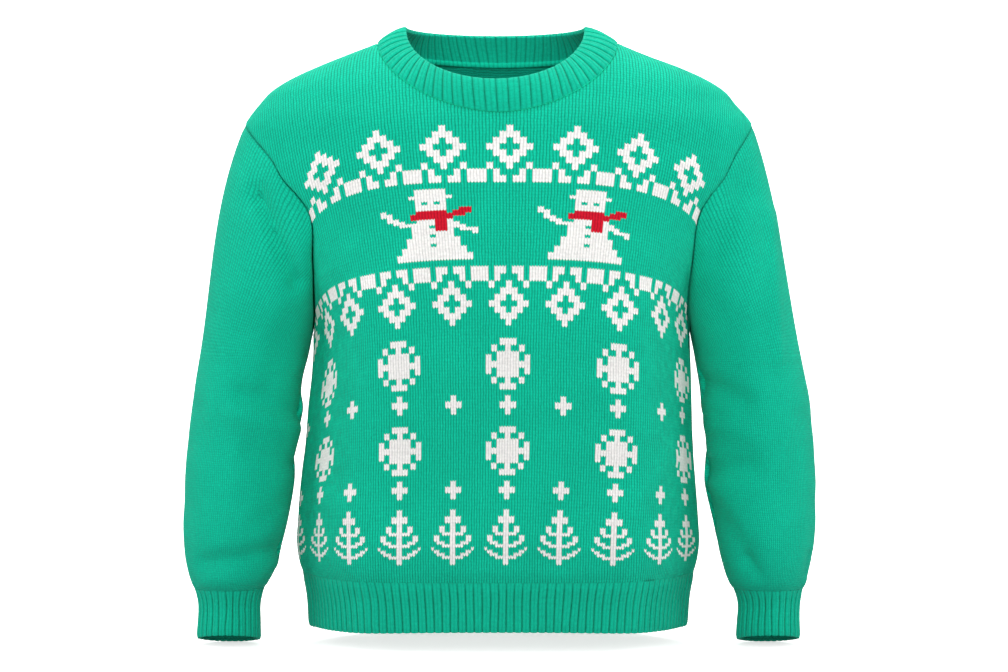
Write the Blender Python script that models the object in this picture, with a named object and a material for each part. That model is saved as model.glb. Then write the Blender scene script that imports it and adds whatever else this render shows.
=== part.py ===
"""A crew-neck pullover with ribbed neck, hem and cuffs, filled out as worn, with no wearer inside.

It faces -Y, +X is on the right of someone looking at its front, and +Z is up. The origin is where the wearer's
shoulders hold it: midway between the two points where shoulder and neck meet. Sizes are in millimetres, and
METRE turns them into metres as each mesh is made.
"""

import bmesh
import bpy
import numpy as np

METRE = 0.001
FRONT, BACK = -1, 1
LEFT, RIGHT = -1, 1

# Cloth
CLOTH = 2.6  # wall of the plain knit
RIB_CLOTH = 3.0  # wall of the hem and cuffs, under their ribs
NECK_CLOTH = 4.0  # the neckband is folded double
SEAM = 0.3  # between two pieces that are sewn together

# Heights, from the shoulder-neck points
NECK = 2.0
SHOULDER = -88.0  # where the armhole seam crosses the shoulder
UNDERARM = -320.0
BODY_END = -582.0
HEM_ROUNDS = -630.0  # where the hem's ribs start to round off
HEM_END = -634.5
HEM_DROOP = 6.0  # how much lower its mouth hangs at the side seams
BICEPS = -345.0
BELOW_BICEPS = -365.0
SLEEVE_END = -597.0
CUFF_END = -652.0

# Neck
FRONT_NECK_DROP = 85.0
BACK_NECK_DROP = 17.0
NECK_CURVE = 1.75  # 2 is a half ellipse
NECK_SHARE = 0.4  # of the body's columns, those that end at the neck
BAND_HALF, BAND_FRONT, BAND_BACK = 99.5, 86.0, 74.0  # the band's top edge
BAND_MIDDLE = -4.5
BAND_HEIGHT, BAND_FRONT_DROP, BAND_BACK_DROP = 20.0, 67.0, 1.0
BAND_BOW = 2.5

# Ribs
RIB_HEIGHT = 1.4
RIB_SHAPE = (0.0, 1.0, 1.0)  # a groove, then the two corners of a ridge
HEM_RIBS = 54  # on each half
NECK_RIBS = 36
CUFF_RIBS = 22

# Mesh
NECK_STEPS = 18
SHOULDER_STEPS = 5
YOKE_STEPS = 12
CAP_STEPS = 7
RIBS_A_NECK_STEP = 1
BAND_ROWS = (0, 0.35, 0.75, 1)  # up the neckband
SAMPLES = 400  # along a line that is measured
SHOULDER_ROUND = {LEFT: 60.0, RIGHT: 36.0}  # how far the sleeve swells as it leaves the shoulder seam
CUFF_TILT = 0.22  # the cuffs' mouths face a little forwards

GREEN = (0.012, 0.43, 0.24, 1.0)


def table(names, *rows):
    """The columns of a table by name."""
    return dict(zip(names.split(), np.array(rows, float).T))


# The body's level sections. Above the underarm they run on round the shoulders, and the armhole cuts them.
BODY = table(
    "height left right front back square",
    (-634.5, 210, 207, 115, 99, 2.4),
    (-600.0, 213, 210.5, 118, 101.5, 2.4),
    (-582.0, 217.5, 215, 121.5, 104.5, 2.4),
    (-572.0, 221, 218, 124.5, 107, 2.4),
    (-555.0, 224, 221, 127, 109, 2.4),
    (-520.0, 223, 220, 127, 107, 2.4),
    (-480.0, 220, 217, 126, 103, 2.4),
    (-440.0, 215, 214, 127, 101, 2.4),
    (-400.0, 212, 213, 129, 103, 2.4),
    (-360.0, 208, 212, 131, 108, 2.4),
    (-320.0, 207, 211, 132, 112, 2.4),
    (-280.0, 213, 214, 131, 115, 2.4),
    (-240.0, 224, 223, 128, 116, 2.3),
    (-190.0, 247, 245, 121, 116, 2.1),
    (-150.0, 290, 284, 113, 114, 2.0),
    (-120.0, 290, 286, 106, 111, 2.0),
    (-85.0, 279, 277, 97, 106, 2.0),
    (-65.0, 264, 260, 87, 102, 2.0),
    (-52.0, 252, 249, 80, 98, 2.0),
    (-38.5, 231, 228, 72, 93, 2.0),
    (-25.0, 202, 198, 63, 87, 2.0),
    (-12.0, 170, 163, 54, 80, 2.0),
    (-5.0, 152, 146, 49, 75, 2.0),
    (2.0, 134, 130, 44, 70, 2.0),
)

# The torso's level section, as shares of its half width and depth: a flat front, then slanted sides.
TORSO = table(
    "share deep",
    (0.00, 1.000),
    (0.30, 0.994),
    (0.50, 0.972),
    (0.60, 0.942),
    (0.70, 0.873),
    (0.80, 0.702),
    (0.90, 0.430),
    (0.95, 0.240),
    (0.99, 0.075),
    (1.00, 0.000),
)
TORSO_ENDS, SHOULDERS_START = -320.0, -200.0  # between these the section turns from that to a rounded one

# The armhole's edge: how far up it, and how far out it lies as a share of the body's half width.
ARMHOLE = table(
    "up left right",
    (0.00, 1.000, 1.000),
    (0.17, 0.950, 0.965),
    (0.35, 0.897, 0.940),
    (0.56, 0.829, 0.885),
    (0.67, 0.806, 0.855),
    (0.80, 0.836, 0.878),
    (0.91, 0.922, 0.938),
    (1.00, 1.000, 1.000),
)

# The sleeves' level sections: their outer and inner sides, half their depth, and how far forwards they lie.
SLEEVE = table(
    "height left_out left_in right_out right_in deep forward",
    (-597.0, 334, 257.5, 332.8, 255.2, 38, 24),
    (-593.0, 336, 254.8, 334.8, 252.5, 40.5, 24),
    (-585.0, 339, 250, 337.8, 249, 45, 23),
    (-570.0, 343, 243, 341.5, 244.5, 51.5, 21),
    (-547.0, 346, 238, 345, 239, 57.5, 18),
    (-525.0, 347, 233, 347, 235, 60, 15),
    (-503.0, 346, 229, 347, 230, 61, 12),
    (-481.0, 346, 226, 348, 226, 62, 9),
    (-459.0, 345, 225, 347, 227, 63, 7),
    (-437.0, 343, 222, 346, 227, 64, 5),
    (-415.0, 341, 219, 344, 225, 65, 4),
    (-400.0, 339, 217, 343, 223, 66, 3),
    (-385.0, 337, 219, 341, 222, 66, 2),
    (-370.0, 335, 218, 338, 220, 66, 1),
    (-345.0, 331, 212, 333, 216, 66, 0),
)

# The cuffs' level sections: their middles, half widths and depths at the top and the mouth.
CUFF = table(
    "height left right wide deep forward",
    (-652.0, 296, 294.0, 33.7, 34.2, 26),
    (-646.0, 296, 294.0, 33.5, 34.0, 26),
    (-612.0, 295.6, 295.0, 32.6, 33.2, 24.8),
    (-597.3, 295.7, 294.1, 37.6, 37.8, 24),
)

# The largest folds, seen from the front: their face, ends, half width and depth. A ridge has a negative depth.
BODY_FOLDS = table(
    "face out1 height1 out2 height2 wide deep",
    (FRONT, 165, -300, 168, -425, 15, -3),
    (FRONT, -188, -320, -190, -470, 14, 3),
    (FRONT, 120, -530, 178, -455, 16, -2.5),
    (BACK, -176, -300, -92, -405, 20, 4),
    (BACK, 172, -312, 100, -420, 20, 4),
    (BACK, -60, -470, 90, -498, 20, 3),
)
SLEEVE_MIDDLE = -10.0  # the depth at which a sleeve's front ends
SLEEVE_FOLDS = {
    LEFT: table(
        "face out1 height1 out2 height2 wide deep",
        (FRONT, 262, -165, 216, -262, 13, 9),
        (BACK, 262, -165, 226, -236, 18, 6),
        (FRONT, 214, -408, 276, -386, 13, 7),
        (FRONT, 216, -420, 282, -405, 14, -4),
        (BACK, 216, -440, 290, -452, 15, 5),
        (FRONT, 317, -566, 243, -555, 12, 5),
        (BACK, 330, -540, 262, -556, 13, 5),
    ),
    RIGHT: table(
        "face out1 height1 out2 height2 wide deep",
        (FRONT, 262, -165, 228, -238, 16, 6),
        (BACK, 262, -165, 226, -236, 18, 6),
        (FRONT, 220, -372, 262, -392, 13, 6),
        (FRONT, 222, -470, 268, -462, 13, 6),
        (BACK, 224, -430, 292, -446, 15, 5),
        (FRONT, 226, -500, 268, -560, 12, 4),
        (BACK, 326, -536, 258, -552, 13, 5),
    ),
}


def smooth(columns, name, at, key="height"):
    """One column, read between its rows along a smooth curve."""
    x, y = columns[key], columns[name]
    slope = np.gradient(y, x)
    at = np.clip(at, x[0], x[-1])
    i = np.clip(np.searchsorted(x, at) - 1, 0, len(x) - 2)
    step = x[i + 1] - x[i]
    t = (at - x[i]) / step
    start = (1 + 2 * t) * (1 - t) ** 2 * y[i] + t * (1 - t) ** 2 * step * slope[i]
    end = t**2 * (3 - 2 * t) * y[i + 1] - t**2 * (1 - t) * step * slope[i + 1]
    return start + end


def unit(vectors):
    return vectors / np.maximum(np.linalg.norm(vectors, axis=-1, keepdims=True), 1e-9)


def across(vectors, along):
    """What is left of each vector once its part along another direction is taken off."""
    return vectors - along * (vectors * along).sum(axis=-1, keepdims=True)


def outward(grid, ring):
    """The direction out of the cloth at each point of a grid of rows by columns."""
    if ring:
        round_it = np.roll(grid, -1, axis=1) - np.roll(grid, 1, axis=1)
    else:
        round_it = np.gradient(grid, axis=1)
    out = unit(np.cross(round_it, np.gradient(grid, axis=0)))
    middle = grid.mean(axis=1, keepdims=True)
    return out if (out * (grid - middle)).sum() > 0 else -out


def fold(grid, folds, side, middle, ring):
    """Pushes the folds into a grid of points, each as a soft trough along its line. Middle is the depth at
    which the front ends and the back begins."""
    push = np.zeros(grid.shape[:2])
    face = np.where(grid[..., 1] < middle, FRONT, BACK)
    seen = np.stack([side * grid[..., 0], grid[..., 2]], axis=-1)
    for of_face, out1, height1, out2, height2, wide, deep in zip(*folds.values()):
        start, line = np.array([out1, height1]), np.array([out2 - out1, height2 - height1])
        along = np.clip(((seen - start) @ line) / (line @ line), 0, 1)
        apart = np.linalg.norm(seen - start - along[..., None] * line, axis=-1)
        push += np.where(face == of_face, deep * np.exp(-((apart / wide) ** 2)), 0)
    return grid - push[..., None] * outward(grid, ring)


def body_half(height, side_of):
    return np.where(side_of < 0, smooth(BODY, "left", height), smooth(BODY, "right", height))


def on_body(share, height, face):
    """A point of the body's outside: share is how far out it lies, from -1 at the left to 1 at the right."""
    square = smooth(BODY, "square", height)
    deep = smooth(BODY, "front" if face == FRONT else "back", height)
    slanted = smooth(TORSO, "deep", np.abs(share), "share")
    rounded = (1 - np.abs(share) ** square) ** (1 / square)
    up = np.clip((height - TORSO_ENDS) / (SHOULDERS_START - TORSO_ENDS), 0, 1)
    y = face * deep * (slanted + (rounded - slanted) * up**2 * (3 - 2 * up))
    return np.stack([share * body_half(height, share), y, height + 0 * share], axis=-1)


def shoulder_height(out, side):
    """The height of the shoulder line, out along it."""
    heights = np.linspace(NECK, SHOULDER, SAMPLES)
    return np.interp(out, body_half(heights, np.full(SAMPLES, side)), heights)


COLUMNS = np.concatenate(
    [
        np.linspace(-1, -NECK_SHARE, SHOULDER_STEPS + 1)[:-1],
        np.linspace(-NECK_SHARE, NECK_SHARE, NECK_STEPS + 1),
        np.linspace(NECK_SHARE, 1, SHOULDER_STEPS + 1)[1:],
    ]
)
BODY_ROWS = (-582, -577, -571, -562, -548, -525, -500, -475, -450, -425, -400, -375, -350)
YOKE_UP = (1 - np.cos(np.linspace(0, np.pi, YOKE_STEPS + 1))) / 2


def neckline(turn, side, face):
    """How far out and how high the neck's seam runs, at a turn from its middle (0) to the shoulder."""
    drop = FRONT_NECK_DROP if face == FRONT else BACK_NECK_DROP
    out = body_half(NECK, side) * np.sin(turn) ** (2 / NECK_CURVE)
    return out, NECK - drop * np.abs(np.cos(turn)) ** (2 / NECK_CURVE)


def neck_turns(share, face):
    """Turns round the neckline that are equal steps along its seam."""
    turn = np.linspace(0, np.pi / 2, SAMPLES)
    out, height = neckline(turn, np.full(SAMPLES, RIGHT), face)
    line = on_body(np.minimum(out / body_half(height, out), 1), height, face)
    steps = np.concatenate([[0], np.cumsum(np.linalg.norm(np.diff(line, axis=0), axis=1))])
    return np.interp(share * steps[-1], steps, turn)


def yoke_row(up, face):
    """The yoke's points across one row, from the underarm (0) to the neck and shoulder seams (1)."""
    side = np.where(COLUMNS < 0, LEFT, RIGHT)
    size = np.abs(COLUMNS)
    low = np.sin(size * np.pi / 2) ** (2 / smooth(BODY, "square", UNDERARM)) * body_half(UNDERARM, side)
    neck, shoulder = body_half(NECK, side), body_half(SHOULDER, side)

    turn = neck_turns(np.clip(size / NECK_SHARE, 0, 1), face)
    neck_out, neck_height = neckline(turn, side, face)
    past_neck = np.clip((size - NECK_SHARE) / (1 - NECK_SHARE), 0, 1)
    top = neck_out + (shoulder - neck) * past_neck
    ridge = np.array([shoulder_height(out, which) for out, which in zip(top, side)])
    top_height = np.where(size > NECK_SHARE, ridge, neck_height)

    height = UNDERARM + (top_height - UNDERARM) * up
    edge_height = UNDERARM + (SHOULDER - UNDERARM) * up
    edge_share = np.where(side < 0, smooth(ARMHOLE, "left", up, "up"), smooth(ARMHOLE, "right", up, "up"))
    edge = edge_share * body_half(edge_height, side)
    straight_edge = body_half(UNDERARM, side) * (1 - up) + shoulder * up
    out = low * (1 - up) + top * up + (edge - straight_edge) * size**2
    share = np.minimum(out / body_half(height, side), 1)
    share = np.where((up == 1) & (size >= NECK_SHARE), 1, share)
    share = np.where(size == 1, edge_share, share)
    return on_body(side * share, height, face)


def body_grid(face):
    rows = []
    for height in BODY_ROWS:
        turned = np.abs(np.sin(COLUMNS * np.pi / 2)) ** (2 / smooth(BODY, "square", height))
        rows.append(on_body(np.sign(COLUMNS) * turned, np.full(len(COLUMNS), float(height)), face))
    rows += [yoke_row(up, face) for up in YOKE_UP]
    return np.array(rows)


def evenly(line, count):
    """Points at equal steps along a line of points."""
    steps = np.concatenate([[0], np.cumsum(np.linalg.norm(np.diff(line, axis=0), axis=1))])
    at = np.linspace(0, steps[-1], count)
    return np.stack([np.interp(at, steps, line[:, i]) for i in range(3)], axis=-1)


def make_solid(name, outer, inner, ring):
    """One closed solid: up its outer grid of points and back down its inner one."""
    rows = np.concatenate([outer, inner[::-1]])
    count, wide = rows.shape[:2]
    mesh = bmesh.new()
    points = [[mesh.verts.new(p * METRE) for p in row] for row in rows]
    for r in range(count):
        for c in range(wide if ring else wide - 1):
            after, above = (c + 1) % wide, (r + 1) % count
            mesh.faces.new((points[r][c], points[r][after], points[above][after], points[above][c]))
    if not ring:
        for c in (0, wide - 1):
            for r in range(len(outer) - 1):
                back = count - 1 - r
                mesh.faces.new((points[r][c], points[r + 1][c], points[back - 1][c], points[back][c]))
    bmesh.ops.recalc_face_normals(mesh, faces=mesh.faces)
    data = bpy.data.meshes.new(name)
    mesh.to_mesh(data)
    mesh.free()
    data.shade_smooth()
    data.materials.append(KNIT)
    piece = bpy.data.objects.new(name, data)
    bpy.context.collection.objects.link(piece)


def mitre(inner, seam, away, clear):
    """Moves inner edge points to their own side of a seam, so that two walls meet along one plane."""
    short = clear - ((inner - seam) * away).sum(axis=-1, keepdims=True)
    return inner + away * np.maximum(short, 0)


def raise_ribs(grid, ring, count, heights):
    """Raises ribs in a grid's points, as high on each row as its share in heights."""
    pattern = np.array(RIB_SHAPE * count + (() if ring else (RIB_SHAPE[0],)))
    lift = RIB_HEIGHT * np.outer(heights, pattern)
    return grid + lift[..., None] * outward(grid, ring)


def knit_material():
    material = bpy.data.materials.new("green_knit")
    material.use_nodes = True
    shader = material.node_tree.nodes["Principled BSDF"]
    shader.inputs["Base Color"].default_value = GREEN
    shader.inputs["Roughness"].default_value = 0.9
    shader.inputs["Metallic"].default_value = 0.0
    return material


def armhole_loop(grids, side):
    """The armhole's seam from the shoulder down the front, under the arm and up the back, and the way
    from each of its points into the body's cloth."""
    edge, next_in = (0, 1) if side == LEFT else (-1, -2)
    first = len(BODY_ROWS)
    loops, inner_ways = [], []
    for face in (FRONT, BACK):
        grid = grids[face]
        points = grid[first:, edge]
        way = (grid[first:, next_in] - points) + (grid[first - 1 : -1, edge] - points)
        keep = slice(None, None, -1) if face == FRONT else slice(1, -1)
        loops.append(points[keep])
        inner_ways.append(way[keep])
    return np.concatenate(loops), np.concatenate(inner_ways)


def sleeve_ring(height, side, turn):
    word = "left" if side == LEFT else "right"
    out, inside = smooth(SLEEVE, word + "_out", height), smooth(SLEEVE, word + "_in", height)
    deep, forward = smooth(SLEEVE, "deep", height), smooth(SLEEVE, "forward", height)
    x = side * ((out + inside) / 2 + (out - inside) / 2 * np.cos(turn))
    return np.stack([x, -forward - deep * np.sin(turn), height + 0 * turn], axis=-1)


def sleeve_grid(loop, side):
    """The sleeve's rows, from the armhole's loop of points through the cap and down to the cuff."""
    turn = np.linspace(0, 2 * np.pi, len(loop), endpoint=False)
    biceps = sleeve_ring(BICEPS, side, turn)
    chord = biceps - loop
    length = np.linalg.norm(chord, axis=-1, keepdims=True)
    round_it = np.stack([side * np.cos(turn), -np.sin(turn), 0 * turn], axis=-1)
    leave = chord + SHOULDER_ROUND[side] * (np.cos(turn / 2) ** 2)[:, None] * round_it
    arrive = unit(sleeve_ring(BELOW_BICEPS, side, turn) - biceps) * length
    rows = []
    for t in np.linspace(0, 1, CAP_STEPS + 1):
        start = (1 + 2 * t) * (1 - t) ** 2 * loop + t * (1 - t) ** 2 * leave
        rows.append(start + t**2 * (3 - 2 * t) * biceps - t**2 * (1 - t) * arrive)
    rows += [sleeve_ring(height, side, turn) for height in SLEEVE["height"][-2::-1]]
    return np.array(rows), leave


def make_body_and_sleeves():
    grids = {face: fold(body_grid(face), BODY_FOLDS, RIGHT, 0, False) for face in (FRONT, BACK)}
    first = len(BODY_ROWS)
    armholes = {}
    for side, name in ((LEFT, "sleeve_left"), (RIGHT, "sleeve_right")):
        loop, into_body = armhole_loop(grids, side)
        grid, leave = sleeve_grid(loop, side)
        along = unit(np.roll(loop, -1, axis=0) - np.roll(loop, 1, axis=0))
        away = unit(unit(across(leave, along)) - unit(across(into_body, along)))
        armholes[side] = loop, away
        outer = fold(grid, SLEEVE_FOLDS[side], side, SLEEVE_MIDDLE, True)
        outer[0] = loop + SEAM * away
        inner = outer - CLOTH * outward(outer, True)
        inner[0] = mitre(inner[0], loop, away, SEAM)
        inner[-1, :, 2] = outer[-1, :, 2]
        make_solid(name, outer, inner, True)

    neck_columns = slice(SHOULDER_STEPS, SHOULDER_STEPS + NECK_STEPS + 1)
    neck, neck_low = (
        np.concatenate([grids[FRONT][row, neck_columns], grids[BACK][row, neck_columns][-2:0:-1]])
        for row in (-1, -2)
    )
    neck, edge, neck_away = neck_frame(neck, neck_low)
    for face, name in ((FRONT, "front_panel"), (BACK, "back_panel")):
        outer = grids[face]
        inner = outer - CLOTH * outward(outer, False)
        inner[0, :, 2] = outer[0, :, 2]
        for side, (loop, away) in armholes.items():
            column = 0 if side == LEFT else -1
            half = len(loop) // 2
            order = np.arange(half, -1, -1) if face == FRONT else np.arange(half, 2 * half + 1) % len(loop)
            inner[first:, column] = mitre(inner[first:, column], loop[order], -away[order], 0)
        order = np.arange(NECK_STEPS + 1) if face == FRONT else np.arange(2 * NECK_STEPS, NECK_STEPS - 1, -1)
        order = order % (2 * NECK_STEPS) * RIBS_A_NECK_STEP * len(RIB_SHAPE)
        inner[-1, neck_columns] = mitre(inner[-1, neck_columns], neck[order], -neck_away[order], 0.2)
        for grid in (outer, inner):
            grid[..., 1] = face * np.maximum(face * grid[..., 1], 0) + face * SEAM / 2
        make_solid(name, outer, inner, False)
    make_neckband(neck, edge, neck_away)


def neck_frame(neck, neck_low):
    """The neck seam at the band's own points, the band's top edge, and the way from one to the other."""
    many = RIBS_A_NECK_STEP * len(RIB_SHAPE)
    count = len(neck) * many
    at = np.arange(count) / many
    seam, low = (
        np.stack([np.interp(at, np.arange(len(p) + 1), np.append(p[:, i], p[0, i])) for i in range(3)], axis=-1)
        for p in (neck, neck_low)
    )
    turn = np.arctan2(seam[:, 0] - seam[:, 0].mean(), -seam[:, 1])
    front = np.cos(turn) > 0
    deep = np.where(front, -BAND_FRONT, BAND_BACK)
    drop = np.where(front, BAND_FRONT_DROP, BAND_BACK_DROP)
    ahead = np.abs(np.cos(turn))
    x = BAND_MIDDLE + BAND_HALF * np.sin(turn)
    edge = np.stack([x, deep * ahead, BAND_HEIGHT - drop * ahead], axis=-1)
    along = unit(np.roll(seam, -1, axis=0) - np.roll(seam, 1, axis=0))
    away = unit(unit(across(edge - seam, along)) - unit(across(low - seam, along)))
    return seam, edge, away


def make_neckband(seam, edge, away):
    start = seam + SEAM * away
    plain = np.array([start + (edge - start) * up for up in BAND_ROWS])
    bow = BAND_BOW * np.sin(np.pi * np.array(BAND_ROWS))
    plain = plain + bow[:, None, None] * outward(plain, True)
    outer = raise_ribs(plain, True, NECK_RIBS, (0.4, 1, 1, 0.3))
    inner = plain - NECK_CLOTH * outward(plain, True)
    outer[0] = mitre(outer[0], seam, away, SEAM)
    inner[0] = mitre(inner[0], seam, away, SEAM)
    make_solid("neckband", outer, inner, True)


def make_hem():
    for face, name in ((FRONT, "hem_front"), (BACK, "hem_back")):
        rows = []
        for height in (BODY_END - SEAM, HEM_ROUNDS, HEM_END):
            turn = np.linspace(-1, 1, SAMPLES) * np.pi / 2
            turned = np.sign(turn) * np.abs(np.sin(turn)) ** (2 / smooth(BODY, "square", height))
            line = on_body(turned, np.full(SAMPLES, height), face)
            line[:, 2] -= HEM_DROOP * np.abs(turned) ** 2.5 * (BODY_END - height) / (BODY_END - HEM_END)
            rows.append(evenly(line, HEM_RIBS * len(RIB_SHAPE) + 1))
        plain = np.array(rows)
        outer = raise_ribs(plain, False, HEM_RIBS, (0.6, 1, 0.3))
        inner = plain - RIB_CLOTH * outward(plain, False)
        for grid in (outer, inner):
            grid[..., 2] = plain[..., 2]
            grid[..., 1] = face * np.maximum(face * grid[..., 1], 0) + face * SEAM / 2
        make_solid(name, outer, inner, False)


def make_cuffs():
    turn = np.linspace(0, 2 * np.pi, CUFF_RIBS * len(RIB_SHAPE), endpoint=False)
    for side, name, word in ((LEFT, "cuff_left", "left"), (RIGHT, "cuff_right", "right")):
        rows = []
        for i, height in enumerate(CUFF["height"]):
            y = -CUFF["deep"][i] * np.sin(turn)
            x = side * (CUFF[word][i] + CUFF["wide"][i] * np.cos(turn))
            tilt = CUFF_TILT * (height - SLEEVE_END + SEAM) / (SLEEVE_END - SEAM - CUFF_END)
            rows.append(np.stack([x, y - CUFF["forward"][i], height + tilt * y], axis=-1))
        plain = np.array(rows)
        outer = raise_ribs(plain, True, CUFF_RIBS, (0.3, 1, 1, 0.3))
        inner = plain - RIB_CLOTH * outward(plain, True)
        for grid in (outer, inner):
            grid[..., 2] = plain[..., 2]
        make_solid(name, outer, inner, True)


for old in list(bpy.data.objects):
    bpy.data.objects.remove(old, do_unlink=True)
KNIT = knit_material()
make_body_and_sleeves()
make_hem()
make_cuffs()
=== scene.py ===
"""The looks of a knitted christmas pullover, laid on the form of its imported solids.

It faces -Y, +X is on the right of someone looking at its front, and +Z is up. Sizes are in millimetres, and
METRE turns them into metres as each mesh is made. The cloth is laid in the knit's own measure: u counts
stitches across a piece and v counts rows up it. The stitches of the colour-work are the mesh's own faces.
"""

import math

import bpy
import numpy as np
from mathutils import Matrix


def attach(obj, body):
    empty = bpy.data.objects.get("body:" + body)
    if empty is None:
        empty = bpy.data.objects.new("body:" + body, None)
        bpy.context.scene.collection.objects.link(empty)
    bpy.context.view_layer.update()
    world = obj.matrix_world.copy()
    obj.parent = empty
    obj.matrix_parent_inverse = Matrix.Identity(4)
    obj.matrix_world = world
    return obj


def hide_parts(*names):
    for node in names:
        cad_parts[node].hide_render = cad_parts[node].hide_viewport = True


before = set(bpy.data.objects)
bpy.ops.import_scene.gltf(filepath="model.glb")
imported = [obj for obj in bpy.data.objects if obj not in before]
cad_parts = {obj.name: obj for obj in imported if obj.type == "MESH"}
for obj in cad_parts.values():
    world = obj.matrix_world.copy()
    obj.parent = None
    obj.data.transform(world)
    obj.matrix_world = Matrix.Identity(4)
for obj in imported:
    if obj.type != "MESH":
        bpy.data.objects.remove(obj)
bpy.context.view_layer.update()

# ------------------------------------------------------------------------------
# Yarn
# ------------------------------------------------------------------------------
# Soft mid-weight cotton or acrylic yarn in emerald green, off-white and red. The knit's stitches are drawn
# from the u and v of each piece: two legs to a stitch, each a rounded strand, with shade painted darker into the
# colour of the gap beside it.

METRE = 0.001
GREEN = (0.003, 0.53, 0.335)
WHITE = (0.86, 0.85, 0.83)
RED = (0.62, 0.008, 0.026)
STRAND_BUMP = 0.0009  # metres
UNEVEN, WORN = 0.3, 0.9  # the grain of each kind of unevenness, to a stitch
FUZZ, DYE = 700.0, 26.0  # the same, to a metre


class Value:
    """A socket of a material's node tree, which can be reckoned with like a number."""

    def __init__(self, tree, socket):
        self.tree = tree
        self.socket = socket

    def node(self, kind, inputs, output=0, **settings):
        """Adds any node, with this value and others or plain numbers as its inputs, and gives one output."""
        made = self.tree.nodes.new(kind)
        for name, setting in settings.items():
            setattr(made, name, setting)
        for name, value in inputs.items():
            if isinstance(value, Value):
                self.tree.links.new(value.socket, made.inputs[name])
            else:
                made.inputs[name].default_value = value
        return Value(self.tree, made.outputs[output])

    def math(self, operation, *others):
        values = {i: value for i, value in enumerate((self, *others))}
        return self.node("ShaderNodeMath", values, operation=operation)

    def __add__(self, other):
        return self.math("ADD", other)

    def __sub__(self, other):
        return self.math("SUBTRACT", other)

    def __rsub__(self, other):
        return self.math("MULTIPLY", -1.0).math("ADD", other)

    def __mul__(self, other):
        return self.math("MULTIPLY", other)

    def __pow__(self, other):
        return self.math("POWER", other)

    __radd__ = __add__
    __rmul__ = __mul__


def tone(share):
    """The green yarn's colour, darker or lighter."""
    return tuple(share * part for part in GREEN)


def knit_material(name, colour, gap_shade, purl=False, rows=0.26, stray=1.0, furrow_shade=0.0):
    """Knitted yarn, with shade painted into its colour. gap_shade is how much darker the gaps are painted, and
    rows the share of it between the rows. Stray is how unevenly the stitches lie, and the last argument how much
    darker the furrows between ribs of two stitches are painted, as their shade."""
    material = bpy.data.materials.new(name)
    material.use_nodes = True
    tree = material.node_tree
    shader = tree.nodes["Principled BSDF"]
    place = Value(tree, tree.nodes.new("ShaderNodeTexCoord").outputs["UV"])
    uneven = place.node("ShaderNodeTexNoise", {"Vector": place, "Scale": UNEVEN, "Detail": 2.0}, output=1)
    across = place.node("ShaderNodeSeparateXYZ", {0: place}, output=0)
    across = across + (uneven.node("ShaderNodeSeparateColor", {0: uneven}, output=0) - 0.5) * (0.6 * stray)
    up = place.node("ShaderNodeSeparateXYZ", {0: place}, output=1)
    up = up + (uneven.node("ShaderNodeSeparateColor", {0: uneven}, output=1) - 0.5) * (1.4 * stray)
    out = (across.math("FRACT") * 2.0 - 1.0).math("ABSOLUTE")
    if purl:
        leg = ((up + out * 0.35) * math.pi).math("SINE").math("ABSOLUTE")
        strand = ((out * math.pi).math("SINE") * 0.4 + 0.6) * leg
    else:
        leg = 1.0 - out**3
        strand = leg * (((up - out * 0.5).math("FRACT") * math.pi).math("SINE") * rows + (1.0 - rows))
    spot = Value(tree, tree.nodes.new("ShaderNodeTexCoord").outputs["Object"])
    fuzz = spot.node("ShaderNodeTexNoise", {"Vector": spot, "Scale": FUZZ, "Detail": 2.0})
    dye = spot.node("ShaderNodeTexNoise", {"Vector": spot, "Scale": DYE, "Detail": 3.0})
    worn = place.node("ShaderNodeTexNoise", {"Vector": place, "Scale": WORN, "Detail": 2.0})
    # Painted shade: the gaps between the strands are made darker in the colour.
    light = (1.15 - gap_shade) + strand * gap_shade
    # Painted shade: the furrows between ribs of two stitches are made darker in the colour.
    if furrow_shade:
        in_rib = ((across * 0.5).math("FRACT") * 2.0 - 1.0).math("ABSOLUTE")
        light = light * (1.0 - in_rib**5 * furrow_shade)
    light = light * ((dye - 0.5) * 0.2 + 1.0) * ((worn - 0.5) * 0.35 + 1.0) * ((fuzz - 0.5) * 0.3 + 1.0)
    grey = light.node("ShaderNodeCombineXYZ", {0: light, 1: light, 2: light})
    tinted = grey.node("ShaderNodeVectorMath", {0: colour, 1: grey}, operation="MULTIPLY")
    tree.links.new(tinted.socket, shader.inputs["Base Color"])
    bump = strand.node(
        "ShaderNodeBump", {"Height": strand + fuzz * 0.25, "Strength": 0.6, "Distance": STRAND_BUMP}
    )
    tree.links.new(bump.socket, shader.inputs["Normal"])
    shader.inputs["Roughness"].default_value = 0.88
    shader.inputs["Specular IOR Level"].default_value = 0.08
    shader.inputs["Sheen Weight"].default_value = 0.04
    shader.inputs["Sheen Roughness"].default_value = 0.5
    return material


GREEN_YARN = knit_material("green_yarn", GREEN, 0.72)
SLEEVE_YARN = knit_material("green_sleeve_yarn", GREEN, 0.55, rows=0.5)
WHITE_YARN = knit_material("white_yarn", WHITE, 0.36)
RED_YARN = knit_material("red_yarn", RED, 0.5)
# The ribbed bands' green is painted darker as their shade, and their furrows darker still.
SHADED_RIB_YARN = knit_material("green_rib_shaded_yarn", tone(0.84), 0.25, stray=0.1, furrow_shade=0.3)
# A lighter green, painted on the neckband's linked line inside as its highlight.
LINK_HIGHLIGHT_YARN = knit_material("green_link_highlight_yarn", tone(1.25), 0.3, stray=0.1)
GREEN_PURL = knit_material("green_purl", tone(0.8), 0.5, purl=True)

# ------------------------------------------------------------------------------
# Front and back panels
# ------------------------------------------------------------------------------
# The body is two knitted panels, linked along the side and shoulder seams. The front has its winter bands
# knitted in with white and red yarn; the back is plain. Both hang from the shoulders as worn.

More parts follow.
